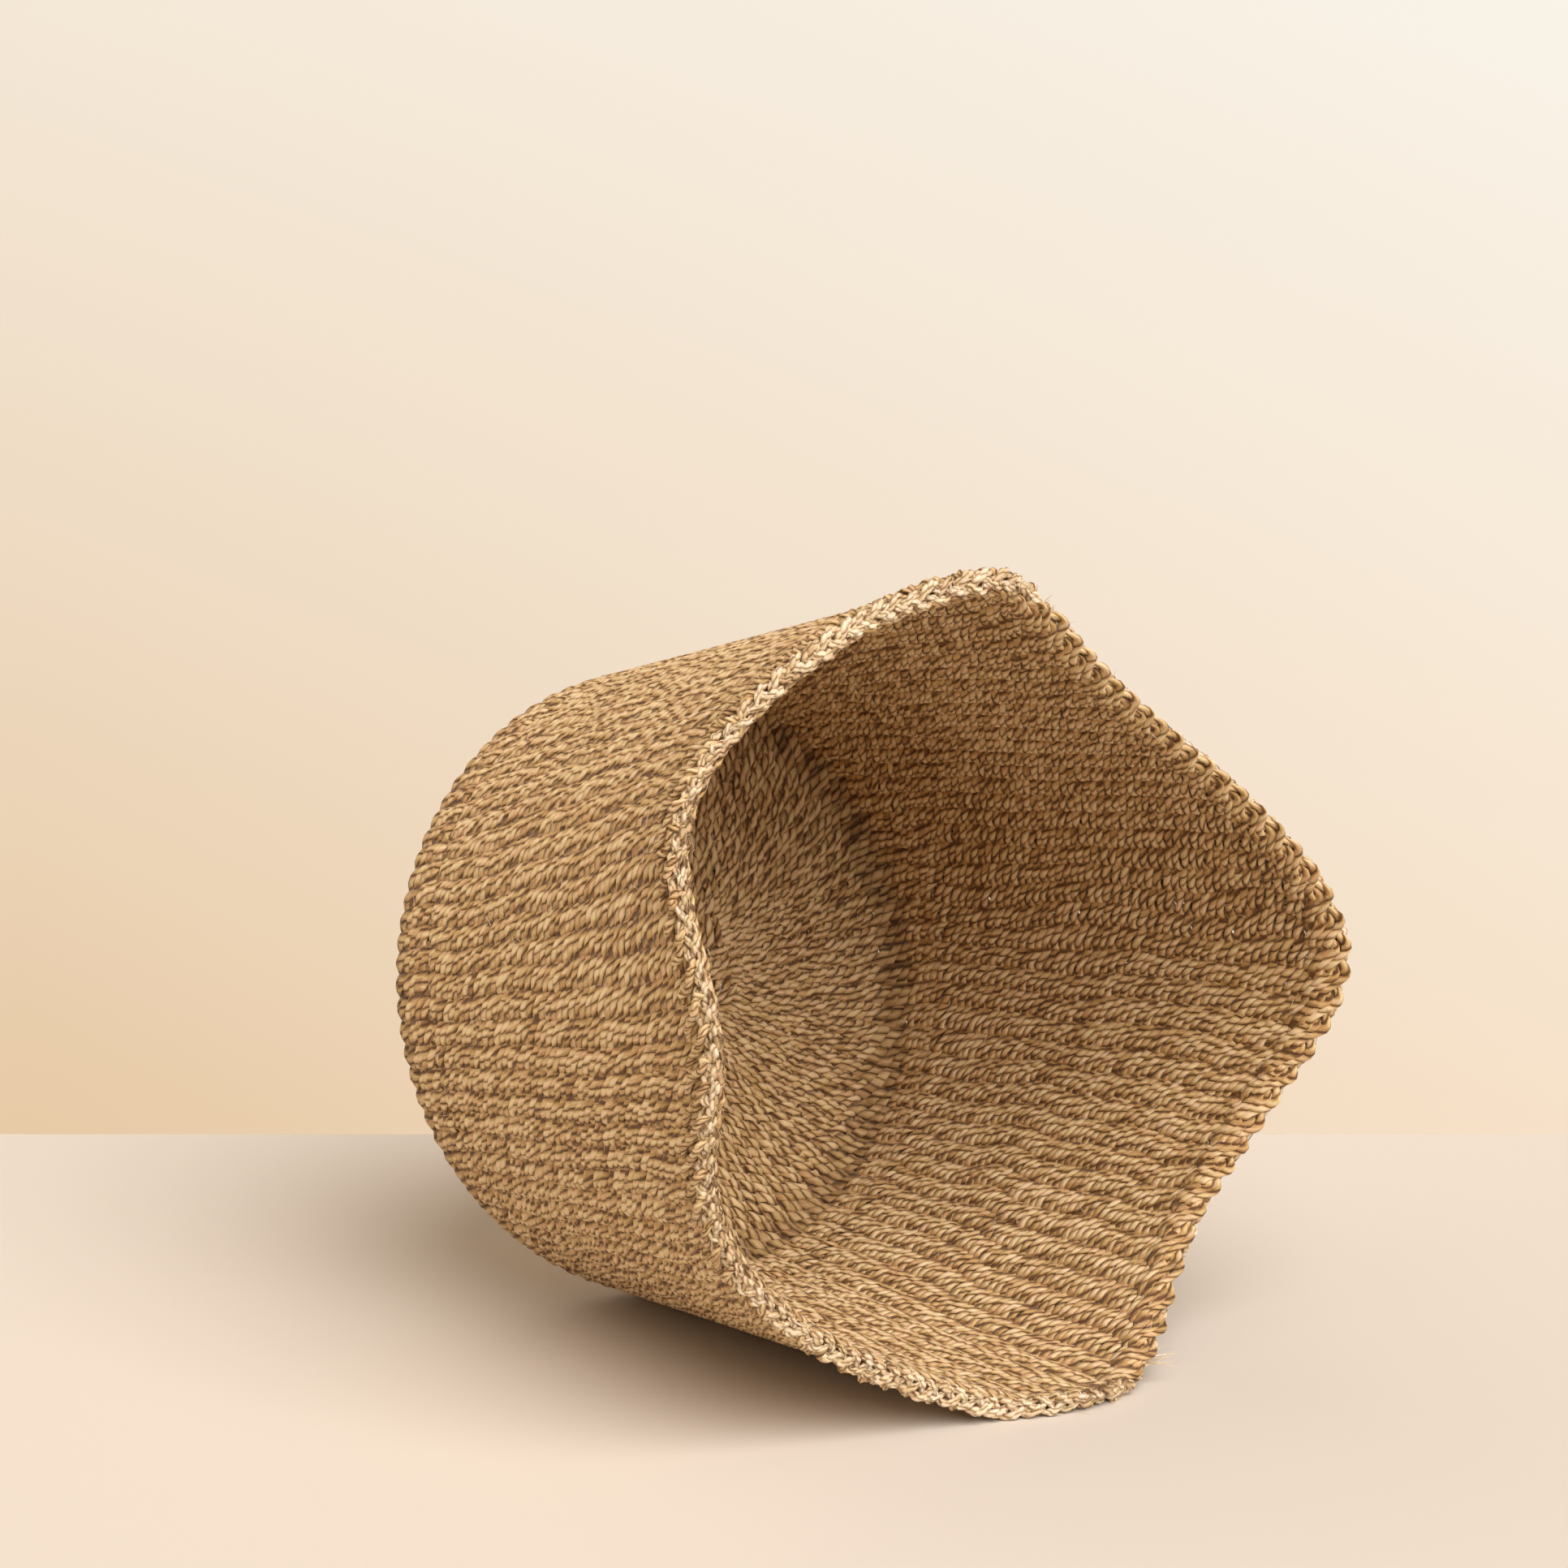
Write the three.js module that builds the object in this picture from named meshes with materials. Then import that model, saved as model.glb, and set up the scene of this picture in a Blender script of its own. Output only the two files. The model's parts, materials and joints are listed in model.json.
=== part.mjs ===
// A soft planter basket twined from plant fibre, empty and lying on its side.
// Lengths are millimetres. Z is up from the floor, and the mouth faces -Y.
import * as THREE from 'three';

// Sizes of the base, measured on the outside
const baseRadius = 125;
const turnRadius = 14;
const baseLeanDegrees = 12.3;

// Sizes of the mouth, and how far its rim stands in front of the base and to the side
const mouthRadius = 148;
const mouthDepth = 232;
const mouthSideways = -6;

// How far the soft wall settles flat where it lies on the floor
const floorSag = 2.5;

// Layers of the twined sheet, from the outside in
const weftThickness = 2;
const stakeThickness = 1.6;
const fitGap = 0.3;

// The stakes: how many, how wide, and where each set is laid in, as a share of the base radius
const groupCount = 11;
const stakeWidth = 2.6;
const firstSetShare = 0.128;
const secondSetShare = 0.304;
const thirdSetShare = 0.528;

// The border of folded stake ends round the mouth
const borderWidth = 8.6;
const borderHeight = 9;

// Folding creases and slack that push the mouth off its circle: direction from the floor and spread
// in degrees, outward and forward push as shares of the mouth radius
const mouthPushShares = [
  { at: 15, spread: 13, out: 0.07, forward: 0.134 },
  { at: 50, spread: 22, out: -0.041, forward: -0.101 },
  { at: 91, spread: 13, out: 0.088, forward: 0.082 },
  { at: 145, spread: 24, out: -0.177, forward: -0.063 },
  { at: 179, spread: 7, out: 0.059, forward: 0.054 },
  { at: 196, spread: 34, out: 0.087, forward: -0.054 },
  { at: 236, spread: 13, out: 0.012, forward: -0.102 },
  { at: 265, spread: 15, out: -0.063, forward: 0.129 },
  { at: 332, spread: 28, out: -0.094, forward: 0.029 },
];

// Colours of the dry fibre
const strawColour = 0xb8946a;
const shadedColour = 0x8f6f47;
const stakeColour = 0xa8875a;
const borderColour = 0xd9c096;
const turnColour = 0x9c7a4e;

// How finely the sheet is cut up
const turnSteps = 3;
const wallSteps = 4;
const bendSteps = 4;
const borderSides = 8;

// Depths of the layers under the outside face
const stakeDepth = weftThickness + fitGap;
const innerWeftDepth = stakeDepth + stakeThickness + fitGap;
const sheetThickness = innerWeftDepth + weftThickness;

const fullTurn = 2 * Math.PI;
const degree = fullTurn / 360;
const lean = baseLeanDegrees * degree;
const flatRadius = baseRadius - turnRadius;
const basket = new THREE.Group();

// Where each stake of a group stands, from the innermost set of the base to the full count on the wall
const slotsBySet = [
  [0, 7],
  [0, 1, 2, 5, 6, 7],
  [0, 1, 2, 3, 4, 5, 6, 7],
];
const setRadii = [firstSetShare, secondSetShare, thirdSetShare].map((share) => share * baseRadius);
const slotCount = slotsBySet.at(-1).length;
const stakeCount = groupCount * slotCount;

function stakeAngle(group, slot, set) {
  const slots = slotsBySet[set];
  const place = (slots.indexOf(slot) + 1 / 2) / slots.length;
  return ((group + place) * fullTurn) / groupCount;
}

// Directions round the basket from the floor, one at every stake of the wall
const stakeStep = fullTurn / stakeCount;
const wallAngles = Array.from({ length: stakeCount }, (_, index) => (index + 1 / 2) * stakeStep);

// Push of the creases at one direction round the mouth
function pushAt(angle, kind) {
  let total = 0;
  for (const push of mouthPushShares) {
    const offset = Math.cos(angle - push.at * degree) - 1;
    total += push[kind] * Math.exp(offset / (push.spread * degree) ** 2);
  }
  return total * mouthRadius;
}

function mouthRadiusAt(angle) {
  return mouthRadius + pushAt(angle, 'out');
}

// Heights that let the base edge and the mouth both settle on the floor
const mouthDrop = Math.max(...wallAngles.map((angle) => mouthRadiusAt(angle) * Math.cos(angle)));
const mouthHeight = mouthDrop - floorSag;
const baseHeight = baseRadius * Math.cos(lean) - turnRadius * Math.sin(lean) - floorSag;

// The floor stops every point at its own depth in the sheet
function restOnFloor(point, depth) {
  point.z = Math.max(point.z, depth, 0);
  return point;
}

// A point of the leaning base: rise runs from the underside toward the mouth
function basePoint(angle, radius, rise) {
  const drop = radius * Math.cos(angle);
  return new THREE.Vector3(
    radius * Math.sin(angle),
    -rise * Math.cos(lean) - drop * Math.sin(lean),
    baseHeight + rise * Math.sin(lean) - drop * Math.cos(lean),
  );
}

function mouthCurve(angle) {
  const radius = mouthRadiusAt(angle);
  return new THREE.Vector3(
    mouthSideways + radius * Math.sin(angle),
    -mouthDepth - pushAt(angle, 'forward'),
    mouthHeight - radius * Math.cos(angle),
  );
}

// Direction out of the mouth's curve, square to it and to the basket's length
function mouthOutward(angle) {
  const along = mouthCurve(angle + degree).sub(mouthCurve(angle - degree));
  return new THREE.Vector3(along.z, 0, -along.x).normalize();
}

// A point of the mouth at a depth in the sheet
function mouthPoint(angle, depth) {
  return mouthCurve(angle).addScaledVector(mouthOutward(angle), -depth);
}

// The three stretches of the sheet, each giving a point from a direction and a depth
function onBase(radius) {
  return (angle, depth) => restOnFloor(basePoint(angle, radius, depth), depth);
}

function onTurn(share) {
  const bend = (share * Math.PI) / 2;
  return (angle, depth) => {
    const reach = turnRadius - depth;
    const point = basePoint(angle, flatRadius + reach * Math.sin(bend), turnRadius - reach * Math.cos(bend));
    return restOnFloor(point, depth);
  };
}

function onWall(share) {
  return (angle, depth) => {
    const foot = basePoint(angle, baseRadius - depth, turnRadius);
    return restOnFloor(foot.lerp(mouthPoint(angle, depth), share), depth);
  };
}

// Evenly spaced stations of one stretch
function stations(stretch, from, to, steps) {
  return Array.from({ length: steps + 1 }, (_, index) => stretch(from + ((to - from) * index) / steps));
}

const seamShare = fitGap / mouthDepth;
const borderShare = 1 - borderHeight / mouthDepth;
const turnStations = stations(onTurn, 0, 1, turnSteps);
const wallStations = stations(onWall, seamShare, borderShare, wallSteps);
const turnAndWallStations = [...turnStations, ...wallStations.slice(1)];
const innerWeftStations = [...turnAndWallStations, onWall(1)];

// A closed surface over rows of points, each row a closed loop
function geometryOf(rows, isRing) {
  const width = rows[0].length;
  const positions = rows.flat().flatMap((point) => point.toArray());
  const faces = [];
  const rowCount = isRing ? rows.length : rows.length - 1;
  for (let row = 0; row < rowCount; row += 1) {
    const next = (row + 1) % rows.length;
    for (let column = 0; column < width; column += 1) {
      const beside = (column + 1) % width;
      const corner = row * width + column;
      const cornerBeside = row * width + beside;
      const above = next * width + column;
      const aboveBeside = next * width + beside;
      faces.push(corner, above, aboveBeside, corner, aboveBeside, cornerBeside);
    }
  }
  if (!isRing) {
    const last = (rows.length - 1) * width;
    for (let column = 1; column < width - 1; column += 1) {
      faces.push(0, column, column + 1, last, last + column + 1, last + column);
    }
  }
  const geometry = new THREE.BufferGeometry();
  geometry.setAttribute('position', new THREE.Float32BufferAttribute(positions, 3));
  geometry.setIndex(faces);
  geometry.computeVertexNormals();
  return geometry;
}

function addPiece(name, geometry, colour, roughness) {
  const material = new THREE.MeshStandardMaterial({ color: colour, roughness, metalness: 0 });
  const piece = new THREE.Mesh(geometry, material);
  piece.name = name;
  basket.add(piece);
  return piece;
}

// A ring of twining: the stations at its outer depth, and back along them at its inner depth
function weftRing(ringStations, depth) {
  const rows = wallAngles.map((angle) => {
    const outside = ringStations.map((station) => station(angle, depth));
    const inside = ringStations.map((station) => station(angle, depth + weftThickness)).reverse();
    return [...outside, ...inside];
  });
  return geometryOf(rows, true);
}

// Half the spacing of two neighbouring stakes where a set is laid in
function halfSpacing(set) {
  return (setRadii[set] * fullTurn) / (groupCount * slotsBySet[set].length) / 2;
}

const startRadius = setRadii[0] - halfSpacing(0) - stakeWidth / 2 - fitGap;

// The start of the base: a round knot through the whole sheet
function baseStart() {
  const profile = [
    new THREE.Vector2(0, 0),
    new THREE.Vector2(startRadius, 0),
    new THREE.Vector2(startRadius, sheetThickness),
    new THREE.Vector2(0, sheetThickness),
  ];
  const piece = addPiece('base_start', new THREE.LatheGeometry(profile, groupCount * 2), strawColour, 0.9);
  piece.position.copy(basePoint(0, 0, 0));
  piece.rotation.x = Math.PI - lean;
}

// The twining of the base, under the stakes and over them
function baseWeft() {
  const baseStations = [onBase(startRadius + fitGap), onBase(setRadii.at(-1)), onBase(flatRadius - fitGap)];
  addPiece('base_weft_outer', weftRing(baseStations, 0), strawColour, 0.9);
  addPiece('base_weft_inner', weftRing(baseStations, innerWeftDepth), shadedColour, 0.9);
}

// The heavier round that turns the base into the wall, outside the stakes
function turnRound() {
  addPiece('turn_round', weftRing(turnStations, 0), turnColour, 0.95);
}

// The twining of the wall, outside the stakes and inside them, where it goes on up behind the border
function wallWeft() {
  addPiece('wall_weft_outer', weftRing(wallStations, 0), strawColour, 0.9);
  addPiece('wall_weft_inner', weftRing(innerWeftStations, innerWeftDepth), shadedColour, 0.9);
}

// Stations of one leg of a stake, from where its set is laid in to the border
function legStations(group, slot, set) {
  const places = [];
  for (let later = set + 1; later < setRadii.length; later += 1) {
    places.push({ station: onBase(setRadii[later]), angle: stakeAngle(group, slot, later) });
  }
  const angle = stakeAngle(group, slot, setRadii.length - 1);
  for (const station of turnAndWallStations) {
    places.push({ station, angle });
  }
  return places;
}

// Stations of the bend that joins a stake's two legs in the base
function bendStations(group, slots, set) {
  const from = stakeAngle(group, slots[0], set);
  const to = stakeAngle(group, slots[1], set);
  const reach = (setRadii[set] * (to - from)) / 2;
  const places = [];
  for (let step = 0; step <= bendSteps; step += 1) {
    const turn = (step * Math.PI) / bendSteps;
    const angle = (from + to) / 2 - (Math.cos(turn) * (to - from)) / 2;
    places.push({ station: onBase(setRadii[set] - Math.sin(turn) * reach), angle });
  }
  return places;
}

// A stake is one flat strand bent double, with both of its legs running up the wall
function stakeGeometry(group, slots, set) {
  const places = [
    ...legStations(group, slots[0], set).reverse(),
    ...bendStations(group, slots, set),
    ...legStations(group, slots[1], set),
  ];
  const outside = places.map(({ station, angle }) => station(angle, stakeDepth));
  const inside = places.map(({ station, angle }) => station(angle, stakeDepth + stakeThickness));
  const rows = places.map((_, index) => {
    const before = outside[Math.max(index - 1, 0)];
    const after = outside[Math.min(index + 1, places.length - 1)];
    const inward = inside[index].clone().sub(outside[index]);
    const side = after.clone().sub(before).cross(inward).setLength(stakeWidth / 2);
    return [
      outside[index].clone().sub(side),
      outside[index].clone().add(side),
      inside[index].clone().add(side),
      inside[index].clone().sub(side),
    ];
  });
  return geometryOf(rows, false);
}

function stakes() {
  const hairpins = [
    { slots: [0, 7], set: 0 },
    { slots: [1, 2], set: 1 },
    { slots: [3, 4], set: 2 },
    { slots: [5, 6], set: 1 },
  ];
  for (let group = 0; group < groupCount; group += 1) {
    hairpins.forEach(({ slots, set }, index) => {
      const number = String(group * hairpins.length + index + 1).padStart(2, '0');
      addPiece(`stake_${number}`, stakeGeometry(group, slots, set), stakeColour, 0.85);
    });
  }
}

// The border: the stakes' ends folded outward and down, a roll on the outer weft, against the inner
function rimBorder() {
  const flatReach = (Math.cos(fullTurn / borderSides / 2) * borderWidth) / 2;
  const middleDepth = innerWeftDepth - fitGap - flatReach;
  const rows = wallAngles.map((angle) => {
    const row = [];
    for (let side = 0; side < borderSides; side += 1) {
      const turn = ((side + 1 / 2) * fullTurn) / borderSides;
      const depth = middleDepth - (Math.cos(turn) * borderWidth) / 2;
      const share = 1 + (((Math.sin(turn) - 1) / 2) * borderHeight + fitGap) / mouthDepth;
      row.push(onWall(share)(angle, depth));
    }
    return row;
  });
  addPiece('rim_border', geometryOf(rows, true), borderColour, 0.85);
}

baseStart();
baseWeft();
turnRound();
wallWeft();
stakes();
rimBorder();

// The origin is on the floor under the middle of the basket
basket.updateMatrixWorld(true);
const extent = new THREE.Box3().setFromObject(basket, true);
const middle = extent.getCenter(new THREE.Vector3());
basket.position.set(-middle.x, -middle.y, -extent.min.z);

export default basket;
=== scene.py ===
# A soft planter basket twined from dry plant fibre, empty and lying on its side.
# Lengths are metres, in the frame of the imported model: Z is up, and the mouth faces -Y.
import json
import math

import bmesh
import bpy
import numpy as np
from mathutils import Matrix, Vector


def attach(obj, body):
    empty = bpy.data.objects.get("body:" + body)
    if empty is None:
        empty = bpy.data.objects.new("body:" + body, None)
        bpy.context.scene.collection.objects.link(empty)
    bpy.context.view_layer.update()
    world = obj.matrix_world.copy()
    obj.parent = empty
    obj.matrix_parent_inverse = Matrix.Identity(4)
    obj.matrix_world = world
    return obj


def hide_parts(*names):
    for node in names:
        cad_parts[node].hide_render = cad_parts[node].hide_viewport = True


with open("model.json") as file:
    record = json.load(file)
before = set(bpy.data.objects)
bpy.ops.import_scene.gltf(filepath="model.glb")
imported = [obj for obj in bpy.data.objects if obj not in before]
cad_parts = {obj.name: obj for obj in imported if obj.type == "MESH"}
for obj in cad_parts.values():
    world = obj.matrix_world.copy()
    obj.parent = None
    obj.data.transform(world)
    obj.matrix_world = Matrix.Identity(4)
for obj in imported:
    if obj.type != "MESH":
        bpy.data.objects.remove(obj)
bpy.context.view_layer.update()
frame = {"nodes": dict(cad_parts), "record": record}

# The stakes: 44 flat strands bent double in the base, whose 88 legs stand inside the weave.
# They are dry plant fibre, and every round of the weave passes in front of them and behind.
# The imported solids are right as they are, and only get their fibre here.
stake_dark = (0.12, 0.065, 0.024)
stake_body = (0.34, 0.21, 0.1)
stake_pale = (0.55, 0.4, 0.23)
stake_stops = (0.3, 0.5, 0.7)
stake_roughness = 0.8
stake_relief = 0.0004
stake_streaks = (900, 120, 900)
stake_patches = (60, 60, 60)
streak_share = 0.6


class Dye:
    """One socket of a material. Sums on it read as plain expressions, and add their Math nodes."""

    def __init__(self, tree, socket=None):
        self.tree = tree
        self.socket = socket

    def node(self, kind, settings, inputs, output=0):
        """A node of one kind: its settings are set first, then its sockets get values or links."""
        made = self.tree.nodes.new(kind)
        for name, value in settings.items():
            if name == "stops":
                stops = made.color_ramp.elements
                stops[0].position, stops[0].color = value[0][0], (*value[0][1], 1)
                stops[1].position, stops[1].color = value[-1][0], (*value[-1][1], 1)
                for place, colour in value[1:-1]:
                    stops.new(place).color = (*colour, 1)
            else:
                setattr(made, name, value)
        for name, value in inputs.items():
            if isinstance(value, Dye):
                self.tree.links.new(value.socket, made.inputs[name])
            else:
                made.inputs[name].default_value = value
        return Dye(self.tree, made.outputs[output]) if made.outputs else None

    def maths(self, operation, first, second):
        return self.node("ShaderNodeMath", {"operation": operation}, {0: first, 1: second})

    def __add__(self, other):
        return self.maths("ADD", self, other)

    def __radd__(self, other):
        return self.maths("ADD", other, self)

    def __sub__(self, other):
        return self.maths("SUBTRACT", self, other)

    def __rsub__(self, other):
        return self.maths("SUBTRACT", other, self)

    def __mul__(self, other):
        return self.maths("MULTIPLY", self, other)

    def __rmul__(self, other):
        return self.maths("MULTIPLY", other, self)


def new_material(name):
    material = bpy.data.materials.new(name)
    material.use_nodes = True
    material.node_tree.nodes.clear()
    return material, Dye(material.node_tree)


def scaled(dye, vector, scale):
    return dye.node("ShaderNodeVectorMath", {"operation": "MULTIPLY"}, {0: vector, 1: scale})


def noise(dye, vector, detail=2):
    return dye.node("ShaderNodeTexNoise", {}, {"Vector": vector, "Scale": 1, "Detail": detail})


def tinted(dye, factor, first, second, blend="MIX"):
    settings = {"data_type": "RGBA", "blend_type": blend}
    return dye.node("ShaderNodeMix", settings, {0: factor, 6: first, 7: second}, 2)


def shaded(dye, shade, places, colours):
    """The colours, one at each place along the shade from dark to pale."""
    return dye.node("ShaderNodeValToRGB", {"stops": list(zip(places, colours))}, {"Fac": shade})


def fibre_shader(dye, colour, relief, roughness, bump_height):
    """The shader of dry fibre, finished with its fine relief."""
    bump = dye.node(
        "ShaderNodeBump", {}, {"Strength": 0.8, "Distance": bump_height, "Height": relief}
    )
    shader = dye.node(
        "ShaderNodeBsdfPrincipled",
        {},
        {"Base Color": colour, "Roughness": roughness, "Normal": bump, "Specular IOR Level": 0.5,
         "Sheen Weight": 0.15, "Sheen Roughness": 0.4, "Sheen Tint": (1, 0.92, 0.86, 1)},
    )
    dye.node("ShaderNodeOutputMaterial", {}, {"Surface": shader})


def stake_fibre(name):
    """Flat strands seen only in the gaps: streaks across the object's own coordinates."""
    material, dye = new_material(name)
    place = dye.node("ShaderNodeTexCoord", {}, {}, "Object")
    streaks = noise(dye, scaled(dye, place, stake_streaks), detail=3)
    patches = noise(dye, scaled(dye, place, stake_patches))
    shade = streaks * streak_share + patches * (1 - streak_share)
    colour = shaded(dye, shade, stake_stops, (stake_dark, stake_body, stake_pale))
    fibre_shader(dye, colour, streaks, stake_roughness, stake_relief)
    return material


stake_material = stake_fibre("dry stake strand")
for node_name, node in frame["nodes"].items():
    if node_name.startswith("stake_"):
        node.data.materials.clear()
        node.data.materials.append(stake_material)

# The start of the base: the knot the basket is begun from, a tight coil of two twisted strands.
# It is the same fibre as the wall, and the first stakes spread from round it.
mount = frame["record"]["mounts"][0]
base_middle = np.array(mount["pos_m"])
base_lean = math.asin(-mount["axis"][2])
full_turn = 2 * math.pi
start_turns = 2.6
start_stitches = 9
start_radius = 0.001
start_pitch = 0.0042
start_wide = 0.0017
start_thick = 0.0012
start_sway = 0.0014
start_seed = 2

# A stitch: how it clears the stake and swells where the strands cross, and how stitches vary
sheet_middle = 0.0031
stake_clearance = 0.00055
stitch_steps = 7
cross_flare = 1.15
cross_sharpness = 1.3
fatness_range = (0.84, 1.2)
stitch_jitter = 0.0003
stitch_tone = 0.35
run_stitches = 20
run_tone = 0.4
seed_step = 10

# How round a strand's tube is, and the small step in depth that finds the way out of a sheet
strand_roundness = 2
probe = 0.0003
least_length = 1e-9

# The unevenness of the weave: cells round it, turns to a cell and seed, and the stitches' shift
wander_rows = 64
sideways_cells = (22, 6, 5)
sideways_share = 0.3
upward_cells = (30, 3, 6)
upward_shift = 0.0007

# The fibre of a cord of two plies: its twist, the painted shade in the groove between the plies
# with painted highlight on their crowns, the grain that runs with the plies, and its colours
cord_pitch = 0.0105
cord_groove_shade = 0.8
cord_relief = 0.0012
crown_roundness = 0.6
crown_middle = 0.72
thread_scale = (120, 4, 4)
thread_share = 0.75
thread_relief = 0.3
blotch_scale = (150, 0.7, 0.7)
blotch_share = 0.8
tone_share = 0.2
# painted shade: how much darker a strand is drawn where it lies deep under its neighbours
painted_shade_share = 0.33
middle_shade = 0.59
drift_scale = (110, 0.9, -0.9)
drift_span = 3
reddish = (1, 0.93, 0.9, 1)
greenish = (0.95, 0.97, 0.78, 1)
straw_stops = (0.12, 0.46, 0.85)
straw_dark = (0.16, 0.07, 0.019)
straw_body = (0.58, 0.35, 0.145)
straw_pale = (0.88, 0.68, 0.44)
straw_roughness = 0.62

# The dice of the whole basket, and how its grain slips along a strand and starts anew on each
rng = np.random.default_rng(11)
grain_slip = 0.0005
grain_start = 50


def base_point(angle, radius, rise):
    """Points of the leaning base. Rise runs from its underside toward the mouth."""
    drop = radius * np.cos(angle)
    across = radius * np.sin(angle)
    back = -rise * math.cos(base_lean) - drop * math.sin(base_lean)
    height = rise * math.sin(base_lean) - drop * math.cos(base_lean)
    return np.stack([across, back, height], -1) + base_middle


def rest_on_floor(points, depth):
    """The floor stops every point at its own depth in the sheet."""
    points[..., 2] = np.maximum(points[..., 2], np.maximum(depth, 0))
    return points


def base_sheet(angle, place, depth):
    return rest_on_floor(base_point(angle, place, depth), depth)


def unit(vectors):
    lengths = np.linalg.norm(vectors, axis=-1, keepdims=True)
    return vectors / np.maximum(lengths, least_length)


def eased(share):
    """A share from 0 to 1 with a soft start and a soft end."""
    return share * share * (3 - 2 * share)


def out_of(sheet, angle, place, depth):
    """The directions that point straight out of a sheet, to the outside of the basket."""
    return unit(sheet(angle, place, depth - probe) - sheet(angle, place, depth + probe))


def fibre_material(name, colours, roughness, twist_pitch=cord_pitch, groove=cord_groove_shade):
    """Cords of two twisted plies of dry leaf, with fine streaks along them and a tone for each
    stitch, painted shade in the groove between the plies and painted highlight on their crowns.
    The lay attribute is the length along a cord and the direction round it, and the other attribute
    holds the tone of the stitch and its painted shade where it lies deep under its neighbours."""
    material, dye = new_material(name)
    lay = dye.node("ShaderNodeAttribute", {"attribute_name": "lay"}, {}, "Vector")
    hand = dye.node("ShaderNodeAttribute", {"attribute_name": "hand"}, {}, "Vector")
    along, across, outward = (
        dye.node("ShaderNodeSeparateXYZ", {}, {"Vector": lay}, axis) for axis in "XYZ"
    )
    tone, hollow = (dye.node("ShaderNodeSeparateXYZ", {}, {"Vector": hand}, axis) for axis in "XY")
    turn = along * (full_turn / twist_pitch)
    cosine, sine = dye.maths("COSINE", turn, 0), dye.maths("SINE", turn, 0)
    crown = across * cosine + outward * sine
    flank = outward * cosine - across * sine
    wound = dye.node("ShaderNodeCombineXYZ", {}, {"X": along, "Y": crown, "Z": flank})
    threads = noise(dye, scaled(dye, wound, thread_scale), detail=3)
    blotches = noise(dye, scaled(dye, wound, blotch_scale))
    ply = dye.maths("POWER", dye.maths("ABSOLUTE", crown, 0), crown_roundness)
    grain = tone_share * tone + thread_share * (threads - 0.5) + blotch_share * (blotches - 0.5)
    # painted shade in the groove between the two plies, and painted highlight on each ply's crown
    shade = grain + groove * (ply - crown_middle)
    # painted shade: darker where the strand lies deep under its neighbours
    shade = middle_shade + shade - painted_shade_share * hollow
    colour = shaded(dye, shade, straw_stops, colours)
    drift = noise(dye, scaled(dye, wound, drift_scale), detail=1)
    tint = tinted(dye, drift * drift_span - (drift_span - 1) / 2, reddish, greenish)
    colour = tinted(dye, 1, colour, tint, "MULTIPLY")
    fibre_shader(dye, colour, threads * thread_relief + ply, roughness, cord_relief)
    return material


def placed(name, data):
    """A new object of the scene, at the origin."""
    thing = bpy.data.objects.new(name, data)
    bpy.context.scene.collection.objects.link(thing)
    return thing


def swept(name, strands, roundness):
    """One mesh of round tubes, as thick as their strands."""
    curve = bpy.data.curves.new(name, "CURVE")
    curve.dimensions = "3D"
    curve.bevel_depth = 1
    curve.bevel_resolution = roundness
    for strand in strands:
        count = len(strand["points"])
        spline = curve.splines.new("POLY")
        spline.points.add(count - 1)
        spline.points.foreach_set("co", np.column_stack([strand["points"], np.ones(count)]).ravel())
        spline.points.foreach_set("radius", strand["thick"])
    holder = placed(name + "_path", curve)
    finished = holder.evaluated_get(bpy.context.evaluated_depsgraph_get())
    mesh = bpy.data.meshes.new_from_object(finished)
    bpy.data.objects.remove(holder)
    bpy.data.curves.remove(curve)
    return mesh


def widen(mesh, strands):
    """Gives the tubes their strands' width, and the attributes that the fibre is coloured by."""
    sides = len(mesh.vertices) // sum(len(strand["points"]) for strand in strands)
    corners = np.empty(len(mesh.vertices) * 3, np.float32)
    mesh.vertices.foreach_get("co", corners)
    corners = corners.reshape(-1, sides, 3).astype(float)
    lay = np.empty_like(corners)
    hand = np.zeros_like(corners)
    round_places = np.arange(sides) * full_turn / sides
    first = 0
    for strand in strands:
        points = strand["points"]
        last = first + len(points)
        across = unit(np.cross(unit(np.gradient(points, axis=0)), strand["outward"]))
        offsets = corners[first:last] - points[:, None]
        sideways = np.sum(offsets * across[:, None], -1, keepdims=True)
        stretch = (strand["wide"] / strand["thick"] - 1)[:, None, None]
        corners[first:last] += sideways * stretch * across[:, None]
        length = np.concatenate([[0], np.cumsum(np.linalg.norm(np.diff(points, axis=0), axis=1))])
        slip = np.cumsum(rng.normal(0, grain_slip, len(points)))
        lay[first:last, :, 0] = (length + slip + rng.uniform(0, grain_start))[:, None]
        lay[first:last, :, 1] = np.cos(round_places)
        lay[first:last, :, 2] = np.sin(round_places)
        hand[first:last, :, 0] = strand["tone"][:, None]
        hand[first:last, :, 1] = strand["hollow"][:, None]
        first = last
    corners[..., 2] = np.maximum(corners[..., 2], 0)
    mesh.vertices.foreach_set("co", corners.ravel())
    for kind, values in (("lay", lay), ("hand", hand)):
        attribute = mesh.attributes.new(kind, "FLOAT_VECTOR", "POINT")
        attribute.data.foreach_set("vector", values.ravel())


def close(mesh):
    """Closes the ends of the tubes, and makes their faces smooth and pointed outwards."""
    edit = bmesh.new()
    edit.from_mesh(mesh)
    bmesh.ops.holes_fill(edit, edges=[edge for edge in edit.edges if edge.is_boundary], sides=0)
    bmesh.ops.recalc_face_normals(edit, faces=edit.faces)
    for face in edit.faces:
        face.smooth = True
    edit.to_mesh(mesh)
    edit.free()


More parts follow.
